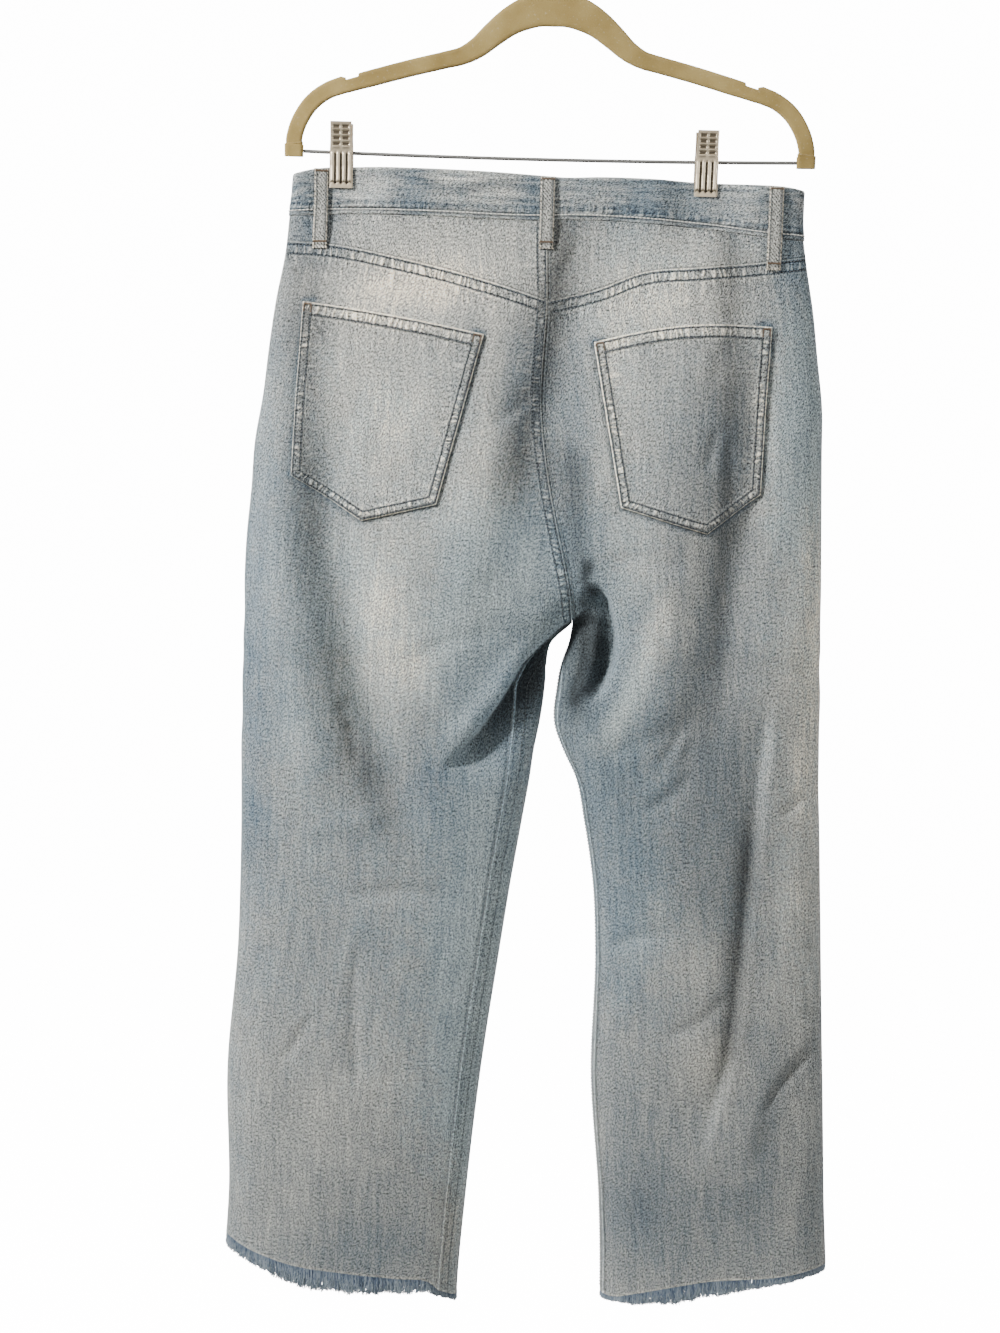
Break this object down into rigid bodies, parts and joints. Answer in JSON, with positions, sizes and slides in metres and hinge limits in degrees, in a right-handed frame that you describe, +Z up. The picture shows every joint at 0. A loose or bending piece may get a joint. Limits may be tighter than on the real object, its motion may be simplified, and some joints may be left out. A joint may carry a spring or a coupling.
{
  "type": "straight leg jeans on a clip hanger",
  "caption": "Light-wash straight leg jeans with frayed hems, hanging by the waistband from a flocked clip hanger.",
  "frame": {"origin": "inside top of the hanger's hook, where it rests on a rail", "axes": "+Z up, along the longest extent; -Y towards someone looking at the back of the jeans; +X to that person's right"},
  "size_m": [0.5617, 0.0679, 1.2608],
  "materials": {
    "denim": "washed twill",
    "inner_denim": "washed twill",
    "frayed_threads": "loose cotton threads",
    "aged_brass": "aged",
    "plated_steel": "warm nickel plate",
    "flocked_plastic": "fine velvet flock"
  },
  "bodies": {
    "root": {"back_left": "denim", "back_right": "denim", "front_left": "denim", "front_right": "denim", "yoke_left": "denim", "yoke_right": "denim", "waistband": "denim", "pocket_back_left": "denim", "pocket_back_right": "denim", "belt_loop_back_left": "denim", "belt_loop_back_centre": "denim", "belt_loop_back_right": "denim", "belt_loop_front_left": "denim", "belt_loop_front_right": "denim", "pocket_facing_left": "inner_denim", "pocket_facing_right": "inner_denim", "fly_shield": "inner_denim", "fringe_left": "frayed_threads", "fringe_right": "frayed_threads", "zip": "aged_brass", "button": "aged_brass", "hanger_hook": "plated_steel", "hanger_bar": "plated_steel", "clip_left_near": "plated_steel", "clip_left_far": "plated_steel", "clip_left_spring": "plated_steel", "clip_right_near": "plated_steel", "clip_right_far": "plated_steel", "clip_right_spring": "plated_steel", "hanger_body": "flocked_plastic"}
  },
  "joints": []
}
